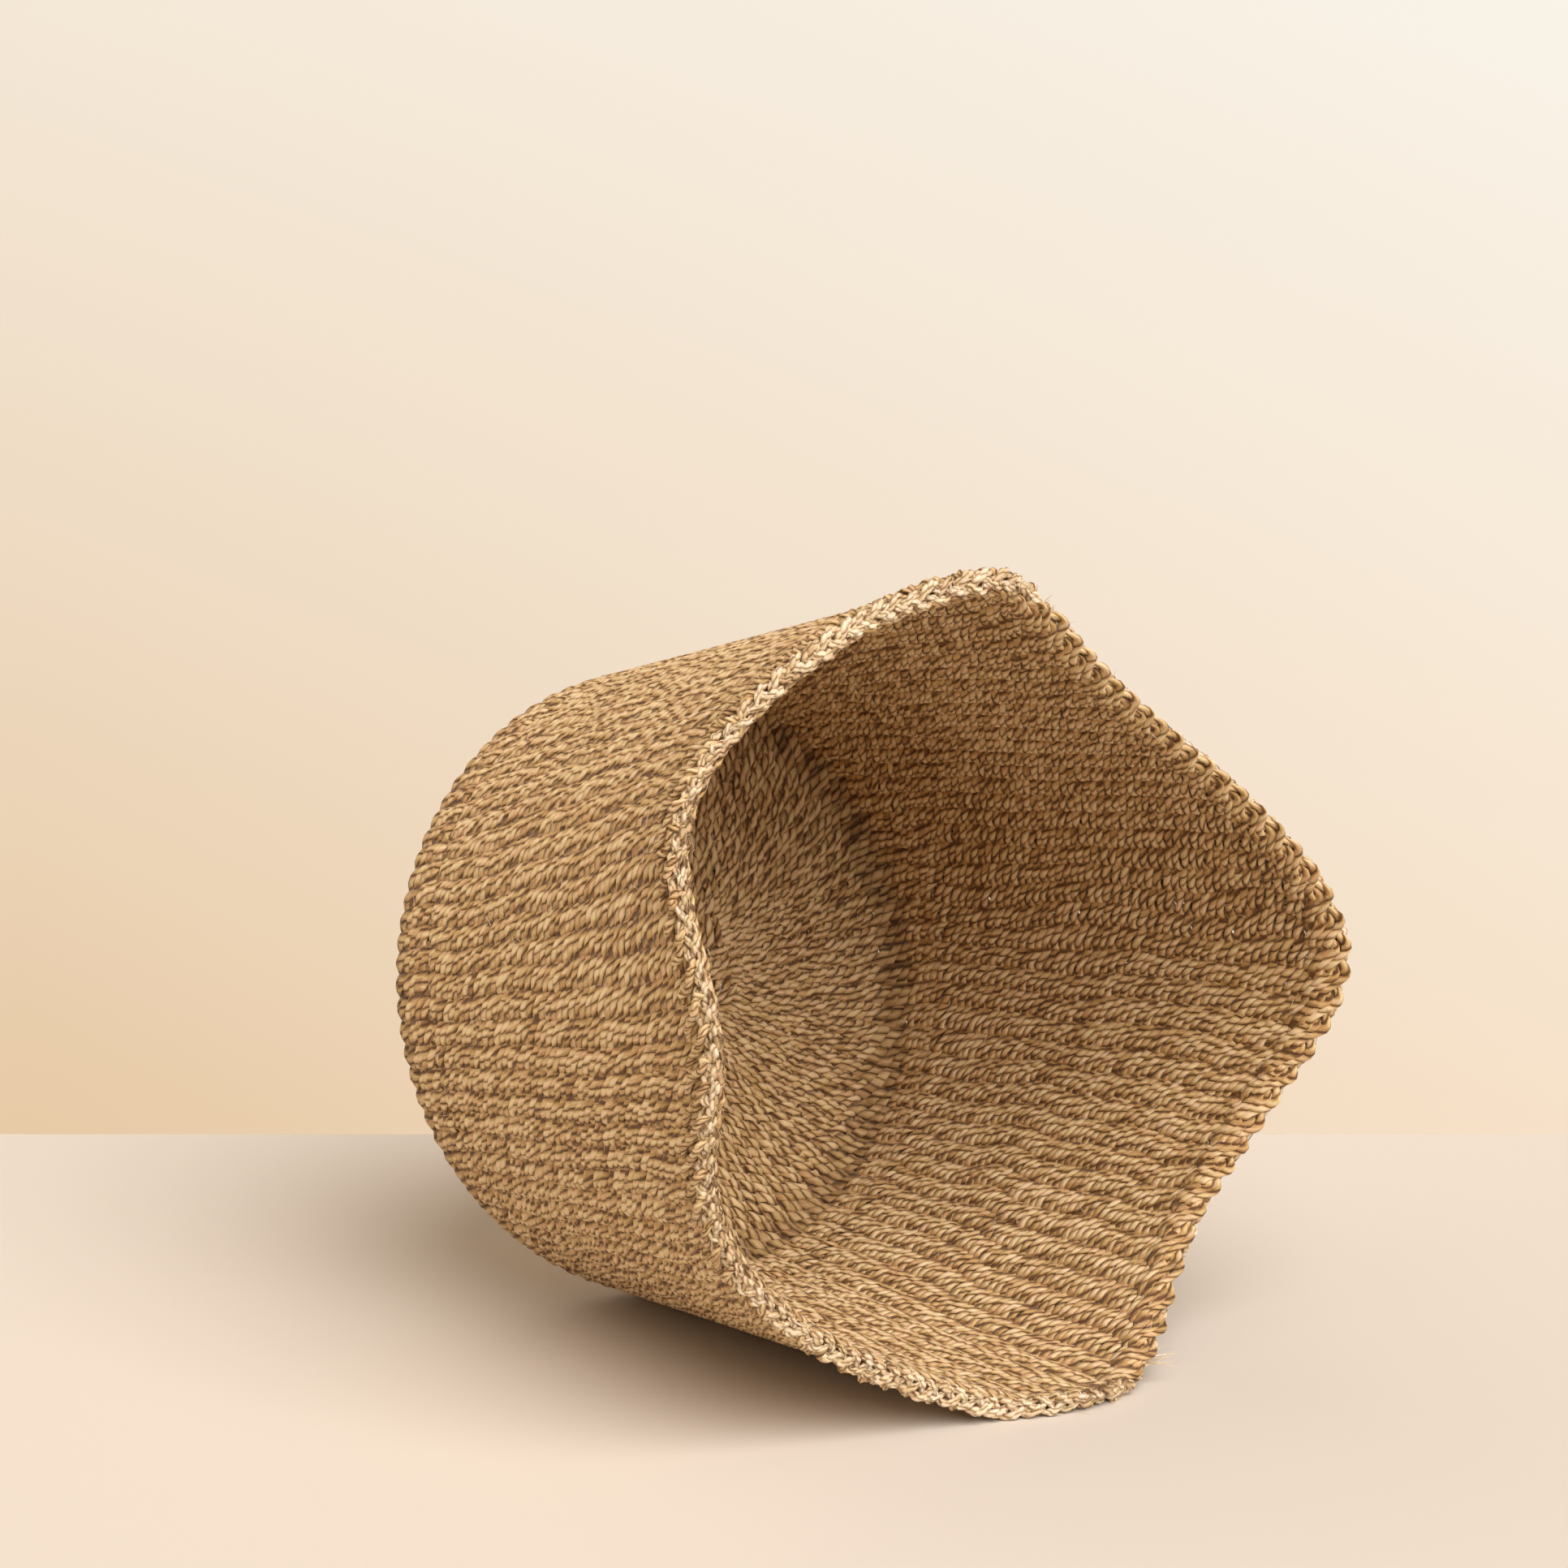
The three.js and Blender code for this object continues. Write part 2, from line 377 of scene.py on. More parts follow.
def spun(name, strands, material, roundness=strand_roundness):
    """One piece of many strands. Each strand is its points, the directions out of the sheet there,
    its half width and half thickness, its tone, and its painted shade where it lies deep under its
    neighbours."""
    mesh = swept(name, strands, roundness)
    widen(mesh, strands)
    close(mesh)
    mesh.materials.clear()
    mesh.materials.append(material)
    return placed(name, mesh)


def wander(angle, turns, cells_round, cells_up, seed):
    """A smooth unevenness over the sheet, from -1 to 1: loose in one place, tight in another."""
    table = np.random.default_rng(seed).uniform(-1, 1, (wander_rows, cells_round))
    column = (angle / full_turn) % 1 * cells_round
    row = turns / cells_up
    left, low = np.floor(column).astype(int), np.floor(row).astype(int)
    over, up = eased(column - left), eased(row - low)
    right, high = (left + 1) % cells_round, (low + 1) % wander_rows
    left, low = left % cells_round, low % wander_rows
    below = table[low, left] * (1 - over) + table[low, right] * over
    above = table[high, left] * (1 - over) + table[high, right] * over
    return below * (1 - up) + above * up


def twined(sheet, place_at, stake_count, from_turn, to_turn, wide, thick, sway, seed, lean_at=None):
    """The two strands of a spiral of twining. Each passes in front of one stake and behind the
    next, and the two change places in between."""
    first = round(from_turn * stake_count)
    last = round(to_turn * stake_count)
    stitch = np.arange(first * stitch_steps, last * stitch_steps + 1) / stitch_steps
    which = np.round(stitch).astype(int) - first
    runs = np.arange(0, last - first + 2 * run_stitches, run_stitches)
    turns = stitch / stake_count
    strands = []
    for strand in range(2):
        dice = np.random.default_rng(seed * seed_step + strand)
        tones = dice.normal(0, stitch_tone, which.max() + 1)
        long_tones = np.interp(stitch, first + runs, dice.normal(0, run_tone, len(runs)))
        fatness = dice.uniform(*fatness_range, which.max() + 1)
        jitter = dice.normal(0, stitch_jitter, which.max() + 1)
        swing = math.pi * (stitch + strand)
        front = np.cos(swing)
        shown = np.abs(front)
        hidden = 1 - shown
        angle = (stitch + 0.5) * full_turn / stake_count
        aside = wander(angle, turns, *sideways_cells) * sideways_share
        angle = angle + aside * full_turn / stake_count
        if lean_at:
            angle = angle - lean_at(angle, place_at(turns)) * full_turn / stake_count
        place = place_at(turns) - sway * np.sin(swing)
        place = place + wander(angle, turns, *upward_cells) * upward_shift + jitter[which] * shown
        depth = sheet_middle - (stake_clearance + thick) * front
        fat = fatness[which] * shown + hidden
        strands.append({
            "points": sheet(angle, place, depth),
            "outward": out_of(sheet, angle, place, depth),
            "wide": (1 + cross_flare * hidden ** cross_sharpness) * wide * fat,
            "thick": np.full(len(stitch), thick),
            "tone": tones[which] + long_tones,
            # painted shade: darker where the strand passes deep between the stakes, under its
            # neighbours
            "hollow": hidden,
        })
    return strands


straw_outside = fibre_material(
    "straw of the wall", (straw_dark, straw_body, straw_pale), straw_roughness
)
start_strands = twined(
    base_sheet, lambda turns: start_radius + start_pitch * turns, start_stitches, 0, start_turns,
    start_wide, start_thick, start_sway, start_seed,
)
start_coil = spun("base_start_coil", start_strands, straw_outside)
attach(start_coil, "root")
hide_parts("base_start")

# The base: rounds of two strands twined over the spreading stakes, which grow from 22 legs to
# 66 and then 88 as new stakes are laid in. It is the same dry fibre, a little darker and browner
# than the wall.
flat_radius = 0.111
base_pitch = 0.0045
weft_wide = 0.0015
weft_thick = 0.00115
weft_sway = 0.0025
base_dark = (0.15, 0.068, 0.02)
base_body = (0.54, 0.33, 0.14)
base_pale = (0.86, 0.66, 0.41)
base_roughness = 0.64

# The radii where the sets of stakes are laid in, and the legs that the weave goes round from there
first_set_radius = 0.0124
second_set_radius = 0.038
third_set_radius = 0.066
first_legs = 22
second_legs = 66
all_legs = 88

# Each piece of the base: its stretches of the spiral, as two radii, the legs and the seed. The
# last stretch is split, so that no piece is too big.
split_radius = 0.0885
base_pieces = {
    "base_weft_middle": (
        (first_set_radius, second_set_radius, first_legs, 21),
        (second_set_radius, third_set_radius, second_legs, 22),
    ),
    "base_weft_full": ((third_set_radius, split_radius, all_legs, 23),),
    "base_weft_edge": ((split_radius, flat_radius, all_legs, 24),),
}


def base_rounds(from_radius, to_radius, legs, seed):
    """The rounds of the base between two radii."""
    return twined(
        base_sheet, lambda turns: from_radius + base_pitch * turns, legs,
        0, (to_radius - from_radius) / base_pitch, weft_wide, weft_thick, weft_sway, seed,
    )


straw_base = fibre_material("straw of the base", (base_dark, base_body, base_pale), base_roughness)
for name, stretches in base_pieces.items():
    strands = [strand for stretch in stretches for strand in base_rounds(*stretch)]
    piece = spun(name, strands, straw_base)
    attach(piece, "root")
    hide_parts("base_weft_outer", "base_weft_inner")

# The turn: heavier rounds that bend the base up into the wall, a dark line of bigger stitches.
# They are the same fibre taken thicker, and pulled tight round every leg. The turn is the foot
# of one sheet that runs up to the mouth, which has settled into creases.
turn_radius = 0.014
turn_rounds = 3
turn_wide = 0.0021
turn_thick = 0.0013
turn_sway = 0.0025
turn_seed = 31
turn_dark = (0.1, 0.045, 0.013)
turn_body = (0.38, 0.22, 0.085)
turn_pale = (0.66, 0.47, 0.26)
turn_roughness = 0.7
base_radius = flat_radius + turn_radius
turn_length = (turn_radius - sheet_middle) * math.pi / 2
wall_start = flat_radius + turn_length

# The mouth: its circle, how far it stands from the base and to the left, and its sag on the floor
mouth_radius = 0.148
mouth_depth = 0.232
mouth_sideways = -0.006
floor_sag = 0.0025
edge_place = wall_start + mouth_depth

# The creases, each a push on the circle: direction from the floor and spread in degrees, and
# how far it goes outward and forward as shares of the radius
mouth_pushes = (
    (15, 13, 0.07, 0.134),
    (50, 22, -0.041, -0.101),
    (91, 13, 0.088, 0.082),
    (145, 24, -0.177, -0.063),
    (179, 7, 0.059, 0.054),
    (196, 34, 0.087, -0.054),
    (236, 13, 0.012, -0.102),
    (265, 15, -0.063, 0.129),
    (332, 28, -0.094, 0.029),
)

# The rounds that show, the last ones behind the border, and where along the sheet they end
wall_rounds = 50
hidden_rounds = 3
border_height = 0.009
edge_margin = 0.0008
weft_end = edge_place - border_height
edge_end = edge_place - edge_margin
weft_turns = turn_rounds + wall_rounds
all_turns = weft_turns + hidden_rounds

# The groove between two rounds low on the wall: the gap it opens, and how deep and wide it is
groove_place = 0.020
groove_gap = 0.0003
groove_edge = 0.0008
groove_sink = 0.0015
groove_reach = 0.0022


def turn_sheet(angle, place, depth):
    """The sheet where the base bends up into the wall. Before it is the flat of the base."""
    bend = np.clip((place - flat_radius) / turn_length, 0, 1) * math.pi / 2
    reach = turn_radius - depth
    bent = base_point(angle, flat_radius + reach * np.sin(bend), turn_radius - reach * np.cos(bend))
    flat = base_point(angle, place, depth)
    return rest_on_floor(np.where((place < flat_radius)[..., None], flat, bent), depth)


def pushed(angle):
    """How far the creases push the mouth outward and forward."""
    outward = forward = 0
    for at, spread, outward_share, forward_share in mouth_pushes:
        nearness = np.exp((np.cos(angle - math.radians(at)) - 1) / math.radians(spread) ** 2)
        outward = outward + outward_share * nearness
        forward = forward + forward_share * nearness
    return outward * mouth_radius, forward * mouth_radius


# The mouth rests on the floor with its lowest leg, apart from the sag
leg_angles = (np.arange(all_legs) + 0.5) * full_turn / all_legs
mouth_drop = np.max((mouth_radius + pushed(leg_angles)[0]) * np.cos(leg_angles))
mouth_height = mouth_drop - floor_sag


def mouth_curve(angle):
    outward, forward = pushed(angle)
    radius = mouth_radius + outward
    across = base_middle[0] + mouth_sideways + radius * np.sin(angle)
    along = base_middle[1] - mouth_depth - forward
    return np.stack([across, along, mouth_height - radius * np.cos(angle)], -1)


def mouth_point(angle, depth):
    """Points of the mouth at a depth in the sheet, square to its curve."""
    step = math.radians(1)
    along = mouth_curve(angle + step) - mouth_curve(angle - step)
    outward = unit(np.stack([along[..., 2], 0 * along[..., 1], -along[..., 0]], -1))
    return mouth_curve(angle) - outward * depth[..., None]


def wall_point(angle, place, depth):
    """Points of the wall, on straight lines from the edge of the base to the mouth."""
    foot = base_point(angle, base_radius - depth, turn_radius)
    share = ((place - wall_start) / mouth_depth)[..., None]
    return foot + (mouth_point(angle, depth) - foot) * share


def wall_sheet(angle, place, depth):
    """The whole sheet from base to mouth. Place is the length along it from the middle."""
    angle, place, depth = np.broadcast_arrays(angle, place, depth)
    above = place - wall_start
    depth = depth + groove_sink * np.exp(-((above - groove_place) / groove_reach) ** 2)
    wall = rest_on_floor(wall_point(angle, place, depth), depth)
    return np.where((above > 0)[..., None], wall, turn_sheet(angle, place, depth))


def wall_place(turns):
    """Where the spiral stands after some turns past the flat of the base."""
    turn_marks = (0, turn_rounds, weft_turns, all_turns)
    place = np.interp(turns, turn_marks, (flat_radius, wall_start, weft_end, edge_end))
    past = 1 / (1 + np.exp(-(place - wall_start - groove_place) / groove_edge))
    return place + groove_gap * (past - (place - wall_start) / mouth_depth)


straw_turn = fibre_material("straw of the turn", (turn_dark, turn_body, turn_pale), turn_roughness)
turn_strands = twined(
    wall_sheet, wall_place, all_legs, 0, turn_rounds, turn_wide, turn_thick, turn_sway, turn_seed
)
turn_piece = spun("turn_stitches", turn_strands, straw_turn)
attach(turn_piece, "root")
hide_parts("turn_round")

# The wall: 50 more rounds of the same straw up to the mouth, soft enough to fold where the
# basket lies, and three more that the border hides. The stakes lean sideways as they climb,
# and the stitches with them.
foot_wide = 0.0018
leaning_legs = 1.25

# Where the border lies flat on the edge: directions from the floor, and spreads
hump = (math.radians(198), math.radians(24))
foot_side = (math.radians(345), math.radians(26))

# Where it is rolled to the outside: the degrees between which it is, and over which it changes
rolled_from = 10
rolled_to = 178
rolling_in = 20
rolling_out = 10

# The hidden rounds: how deep they lie, how far they are squeezed down or curl out over the edge
edge_depth = 0.0034
edge_squeeze = 0.0062
lying_ease = 0.0022
edge_curl = 0.0022
most_climbed = 1.1


def wall_lean(angle, place):
    """Legs by which the stakes lean sideways as they climb the wall, most on its left side."""
    climbed = np.clip((place - wall_start) / mouth_depth, 0, 1)
    return leaning_legs * (1 - np.sin(angle)) * climbed


def turned_away(angle):
    """Where the border is rolled to the outside, right of the mouth, from 0 to 1."""
    degrees = np.degrees(angle) % 360
    begun = (degrees - rolled_from) / rolling_in
    left = (rolled_to - degrees) / rolling_out
    return eased(np.clip(np.minimum(begun, left), 0, 1))


def lying(angle):
    """Where the border lies flat on the edge: over the top hump of the mouth and on the floor."""
    share = sum(np.exp((np.cos(angle - at) - 1) / spread ** 2) for at, spread in (hump, foot_side))
    return share * (1 - turned_away(angle))


def behind_border(angle, place, depth):
    """The last rounds run on inside the border, squeezed against it, or curl out over the edge."""
    climbed = np.clip((place - weft_end) / (edge_end - weft_end), 0, most_climbed)
    rolled = turned_away(angle)
    squeeze = (edge_squeeze - lying_ease * lying(angle)) * (1 - rolled)
    moved = place + (edge_curl * rolled - squeeze) * climbed
    return wall_sheet(angle, moved, edge_depth - edge_depth * climbed ** 2 * rolled + depth / 2)


# Each band of the wall: its sheet, the turns it begins and ends at, its half width and its seed
wall_bands = {
    "wall_weft_foot": (wall_sheet, turn_rounds, 7, foot_wide, 41),
    "wall_weft_ankle": (wall_sheet, 7, 15, weft_wide, 42),
    "wall_weft_belly": (wall_sheet, 15, 23, weft_wide, 43),
    "wall_weft_waist": (wall_sheet, 23, 31, weft_wide, 44),
    "wall_weft_chest": (wall_sheet, 31, 39, weft_wide, 45),
    "wall_weft_shoulder": (wall_sheet, 39, 46, weft_wide, 46),
    "wall_weft_mouth": (wall_sheet, 46, weft_turns, weft_wide, 47),
    "wall_weft_edge": (behind_border, weft_turns, all_turns, weft_wide, 48),
}
for name, (sheet, from_turn, to_turn, wide, seed) in wall_bands.items():
    strands = twined(
        sheet, wall_place, all_legs, from_turn, to_turn,
        wide, weft_thick, weft_sway, seed, wall_lean,
    )
    band = spun(name, strands, straw_outside)
    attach(band, "root")
    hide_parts("wall_weft_outer", "wall_weft_inner")

# The border: the ends of the stakes folded outward over the edge and plaited into each other.
# It is a knobby plait of pale twisted ends, which are turned down outside and tucked in below.
border_dark = (0.18, 0.09, 0.03)
border_body = (0.68, 0.47, 0.265)
border_pale = (0.95, 0.83, 0.68)
border_roughness = 0.6
# painted shade in the groove between the border's plies, with painted highlight on their crowns
border_groove_shade = 0.5
ply_radius = 0.00105
ply_offset = 0.00072
ply_pitch = 0.0075

# The plait: one strand that goes round three times, a third of a swing further on each time
plait_passes = 3
plait_swings = 133
plait_steps = 12
plait_width = 0.0029
plait_height = 0.0011
plait_leg_length = 0.0135

# Its knots: the legs between them, and how they swell, shift and change in tone
knot_legs = 0.9
spare_legs = 3
knot_swell = (0.75, 1.3)
knot_shift = 0.0005
knot_tone = 0.5

# Its painted shade: darker toward the inside, and most where the strand passes under
inside_painted_shade = 0.4
under_painted_shade = 1.1
most_painted_shade = 1.2

# Its middle, as the drop from the edge and the depth: where it lies, hangs, and is rolled down
plait_lying = (0.0016, 0.0014)
plait_hanging = (0.0040, 0.0010)
plait_rolled = (0.0006, -0.0012)
hanging_tilt = math.radians(86)

# On the floor: the least height of its middle, and the share of the lift that it slides forward
floor_height = 0.0032
floor_slide = 0.4

# The turned-down ends, each as legs passed, height from the edge, depth, and share of the radius
end_marks = np.array([
    (0.0, -0.0035, 0.0006, 0.9),
    (0.25, -0.0050, -0.0022, 1.0),
    (0.6, -0.0078, -0.0017, 1.1),
    (0.95, -0.0112, -0.0008, 1.1),
    (1.3, -0.0150, -0.0012, 1.0),
    (1.6, -0.0185, 0.0002, 0.9),
    (1.8, -0.0210, 0.0030, 0.7),
])
end_scatter = (0.06, 0.0005, 0.0003, 0.06)
end_steps = 26
end_reach = (0.75, 1.15)
end_level_share = 0.6
end_slope = 1.4
end_radius = 0.00105
end_tone = (-0.3, 0.4)
end_roundness = 1
# painted shade on the turned-down ends: how fast it grows as they are tucked deeper, and its most
tucked_depth = 0.001
tucked_painted_shade_rate = 300
tucked_painted_shade = 0.6

# The cut stubs: their reach, where they stand on the plait and point, their radius and tone
stub_steps = 6
stub_reach = (0.0015, 0.0036)
stub_heading = 0.7
stub_across = (-0.001, 0.002)
stub_rise = 0.0006
across_share = 0.5
rise_share = 0.6
stub_radius = (0.0004, 0.0008)
stub_foot_share = 1.15
stub_taper = 0.5
stub_tone = (0.2, 1.8)
stub_roundness = 1


def round_strand(points, outward, radius, tone, hollow=0):
    """A strand as wide as it is thick, of one tone and one painted shade where each is a single
    number.
    """
    level = np.zeros(len(points))
    return {
        "points": points,
        "outward": outward,
        "wide": radius,
        "thick": radius,
        "tone": level + tone,
        "hollow": level + hollow,
    }


def border_frame(angle):
    """The tilt of the border and its middle. It lies on the edge over the top hump of the mouth
    and on the floor, hangs outside the edge elsewhere, and is rolled further down on the right."""
    tilt = hanging_tilt * (1 - lying(angle))
    drop = plait_lying[0] * np.cos(tilt) + plait_hanging[0] * np.sin(tilt)
    depth = plait_lying[1] * np.cos(tilt) + plait_hanging[1] * np.sin(tilt)
    rolled = turned_away(angle)
    return tilt, edge_place - drop - plait_rolled[0] * rolled, depth + plait_rolled[1] * rolled


def border_point(angle, across, rise):
    """A point of the border, from its middle: across its width toward the inside, and out of its
    face. It lies whole on the floor where the edge would sink into it."""
    tilt, place, depth = border_frame(angle)
    place = place + rise * np.cos(tilt) + across * np.sin(tilt)
    depth = depth + across * np.cos(tilt) - rise * np.sin(tilt)
    points = wall_point(angle, place, depth)
    sunk = floor_height - mouth_curve(angle)[..., 2]
    lift = np.where(np.cos(angle) > 0, np.maximum(sunk, 0), 0)
    points[..., 1] -= lift * floor_slide
    points[..., 2] = np.maximum(points[..., 2] + lift, ply_radius)
    return points


def border_outward(angle, across, rise):
    return unit(border_point(angle, across, rise + probe) - border_point(angle, across, rise))


def plait():
    """Three strands of two plies, which are one strand that goes round the edge three times."""
    legs = plait_passes * all_legs
    leg = np.arange(legs * plait_steps + 1) / plait_steps
    angle = (leg + 0.5) * full_turn / all_legs
    cross = leg * full_turn * plait_swings / legs
    knots = np.arange(0, legs + spare_legs, knot_legs)
    swell = np.interp(leg, knots, rng.uniform(*knot_swell, len(knots)))
    shift = np.interp(leg, knots, rng.normal(0, knot_shift, len(knots)))
    loose = np.interp(leg, knots, rng.normal(0, knot_shift, len(knots)))
    tone = np.interp(leg, knots, rng.normal(0, knot_tone, len(knots)))
    # painted shade, darker toward the inside of the plait and where the strand passes under
    hollow = inside_painted_shade * np.cos(cross) - under_painted_shade * np.sin(2 * cross)
    strands = []
    for ply in (0, math.pi):
        twist = ply + leg * plait_leg_length * full_turn / ply_pitch
        across = plait_width * np.cos(cross) + loose + ply_offset * swell * np.sin(twist)
        rise = plait_height * np.sin(2 * cross) + shift + ply_offset * swell * np.cos(twist)
        strands.append(round_strand(
            border_point(angle, across, rise),
            border_outward(angle, across, rise),
            swell * ply_radius,
            tone,
            np.clip(hollow, 0, most_painted_shade),
        ))
    return strands


def smooth_along(marks, steps):
    """The marks joined by a smooth path."""
    spots = np.linspace(0, len(marks) - 1, steps)
    low = np.clip(np.floor(spots).astype(int), 0, len(marks) - 2)
    t = (spots - low)[:, None]
    before, start = marks[np.maximum(low - 1, 0)], marks[low]
    end, after = marks[low + 1], marks[np.minimum(low + 2, len(marks) - 1)]
    slope = end - before
    bend = 2 * before - 5 * start + 4 * end - after
    twist = 3 * start - before - 3 * end + after
    return 0.5 * (2 * start + slope * t + bend * t ** 2 + twist * t ** 3)


def turned_down_ends():
    """Two twisted plies for each leg, running down the outside of the wall below the plait."""
    strands = []
    for leg in range(all_legs):
        marks = end_marks + rng.normal(0, 1, end_marks.shape) * end_scatter
        passed, height, deep, share = smooth_along(marks, end_steps).T
        reach = rng.uniform(*end_reach)
        first_turn = rng.uniform(0, full_turn)
        tone = rng.normal(*end_tone)
        length = -height * end_slope
        place = edge_place + height * (end_level_share + (1 - end_level_share) * reach)
        for ply in (0, math.pi):
            twist = first_turn + ply + length * full_turn / ply_pitch
            angle = (leg + 0.5 + passed * reach) * full_turn / all_legs
            angle = angle - wall_lean(angle, edge_place) * full_turn / all_legs
            angle = angle + ply_offset * np.cos(twist) / mouth_radius
            depth = deep - ply_offset * np.sin(twist)
            strands.append(round_strand(
                wall_sheet(angle, place, depth),
                out_of(wall_sheet, angle, place, depth),
                share * end_radius,
                tone,
                # painted shade, darker where the end is tucked deeper in
                np.clip((deep - tucked_depth) * tucked_painted_shade_rate, 0, tucked_painted_shade),
            ))
    return strands


def cut_ends():
    """Short pale stubs where the ends were cut off, standing up out of the plait."""
    strands = []
    for leg in range(all_legs):
        angle = (leg + rng.uniform(0, 1)) * full_turn / all_legs
        t = np.linspace(0, 1, stub_steps)
        reach = rng.uniform(*stub_reach)
        heading = rng.normal(0, stub_heading)
        across = rng.uniform(*stub_across) + across_share * reach * t
        rise = stub_rise + rise_share * reach * t
        angles = angle + reach * t * math.tan(heading) / mouth_radius
        radius = rng.uniform(*stub_radius)
        strands.append(round_strand(
            border_point(angles, across, rise),
            border_outward(angles, across, rise),
            radius * (stub_foot_share - stub_taper * t),
            rng.uniform(*stub_tone),
        ))
    return strands


straw_border = fibre_material(
    "straw of the border", (border_dark, border_body, border_pale), border_roughness, ply_pitch,
    border_groove_shade,
)
border_plait = spun("border_plait", plait(), straw_border)
border_ends = spun("border_ends", turned_down_ends(), straw_outside, end_roundness)
border_stubs = spun("border_stubs", cut_ends(), straw_border, stub_roundness)
for piece in (border_plait, border_ends, border_stubs):
    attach(piece, "root")
    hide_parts("rim_border")

# Loose fibres: fine hairs that stand off the weave, frayed ends along the border, and one longer
# wisp at its lower lip. They are single dry fibres that have worked out of the strands.
hair_body = (0.62, 0.44, 0.24)
hair_pale = (0.9, 0.78, 0.6)
hair_stops = (0.35, 0.65)
hair_patches = (200, 200, 200)
hair_roughness = 0.7
hair_relief = 0.00002
hair_steps = 5
hair_roundness = 0
hair_radius = 0.00011
hair_taper = 1.2
hair_reach = (0.4, 1)
hair_bend = 1.2
hair_lift = (0.3, 1)
hair_curl = 1.5
hair_tone = (0.8, 0.5)
outside_share = 0.6
outside_depth = 0.0008
inside_depth = 0.0054

# Where hairs stand: how many, the places they are between, their greatest lift and length
border_foot = edge_place - 0.006
border_top = edge_place + 0.002
hair_bands = (
    (200, border_foot, border_top, 0.0022, 0.009),
    (500, wall_start, border_foot, 0.0012, 0.011),
)

# A frayed end: its stiff fibres, where on the plait they start, and how they vary
fray_count = 5
fray_steps = 6
fray_start = (0.001, 0.0005)
fray_scatter = 0.0006
fray_reach = (0.5, 1)
fray_bend = 0.0012
fray_floor = 0.0004
fray_radius = (0.00015, 0.00045)
fray_tone = (0.5, 2)

# Where ends are frayed: degrees from the floor, the way they point, their length and splay
frayed_bands = (
    ((166, 169, 171, 173, 175, 177, 179, 181, 184, 188), (0.25, -0.5, 0.85), 0.0045, 0.5),
    ((30, 42, 58, 70, 88, 104, 118, 131, 150, 158), (0.3, -0.9, 0), 0.004, 0.4),
    ((24, 25), (0.85, -0.35, 0.02), 0.015, 0.12),
)


def loose_hairs(count, from_place, to_place, lift, length):
    """Hairs that stand off the sheet between two places, more of them outside than inside."""
    strands = []
    for _ in range(count):
        angle = rng.uniform(0, full_turn)
        place = rng.uniform(from_place, to_place)
        t = np.linspace(0, 1, hair_steps)
        reach = length * rng.uniform(*hair_reach)
        heading = rng.uniform(0, full_turn)
        outside = rng.random() < outside_share
        rise = t ** hair_curl * lift * rng.uniform(*hair_lift)
        depth = outside_depth - rise if outside else inside_depth + rise
        bend = heading + t * rng.uniform(-hair_bend, hair_bend)
        places = place + reach * t * np.cos(bend)
        angles = angle + reach * t * np.sin(bend) / mouth_radius
        strands.append(round_strand(
            wall_sheet(angles, places, depth),
            out_of(wall_sheet, angles, places, depth),
            hair_radius * (hair_taper - t),
            rng.normal(*hair_tone),
        ))
    return strands


def frayed_ends(angles, heading, length, splay):
    """Frayed ends of strands at the border, each a few stiff fibres that splay."""
    strands = []
    for angle in np.radians(angles):
        t = np.linspace(0, 1, fray_steps)[:, None]
        for _ in range(fray_count):
            start = border_point(angle, *fray_start) + rng.normal(0, fray_scatter, 3)
            course = unit(np.array(heading) + rng.normal(0, splay, 3)) * length
            course = course * rng.uniform(*fray_reach)
            points = start + course * t + rng.normal(0, fray_bend, 3) * t ** 2
            points[:, 2] = np.maximum(points[:, 2], fray_floor)
            radius = rng.uniform(*fray_radius)
            strands.append(round_strand(
                points,
                unit(np.cross(course, rng.normal(0, 1, 3)) + 0 * points),
                radius * (hair_taper - t[:, 0]),
                rng.uniform(*fray_tone),
            ))
    return strands


def hair_fibre(name):
    material, dye = new_material(name)
    place = dye.node("ShaderNodeTexCoord", {}, {}, "Object")
    patches = noise(dye, scaled(dye, place, hair_patches))
    colour = shaded(dye, patches, hair_stops, (hair_body, hair_pale))
    fibre_shader(dye, colour, patches, hair_roughness, hair_relief)
    return material


hairs = [hair for band in hair_bands for hair in loose_hairs(*band)]
hairs += [hair for band in frayed_bands for hair in frayed_ends(*band)]
loose_piece = spun("loose_fibres", hairs, hair_fibre("single dry fibre"), hair_roundness)
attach(loose_piece, "root")

# The camera: it stands to the left in front of the mouth and half a metre up, as it did for the
# photograph. Its place, turn and lens were fitted to the outline of the basket.
camera_azimuth = math.radians(-36.3)
camera_elevation = math.radians(10)
camera_place = (-0.9332, -1.2427, 0.4870)
camera_lens = 96.06
camera_sensor = 36
camera_backward = Vector((
    math.sin(camera_azimuth) * math.cos(camera_elevation),
    -math.cos(camera_azimuth) * math.cos(camera_elevation),
    math.sin(camera_elevation),
))


def aim(thing, backward):
    """Turns a camera or a lamp to look away from a direction."""
    thing.rotation_mode = "QUATERNION"
    thing.rotation_quaternion = (-backward).to_track_quat("-Z", "Y")


camera = placed("camera", bpy.data.cameras.new("camera"))
camera.data.lens = camera_lens
camera.data.sensor_width = camera_sensor
camera.location = camera_place
aim(camera, camera_backward)
bpy.context.scene.camera = camera

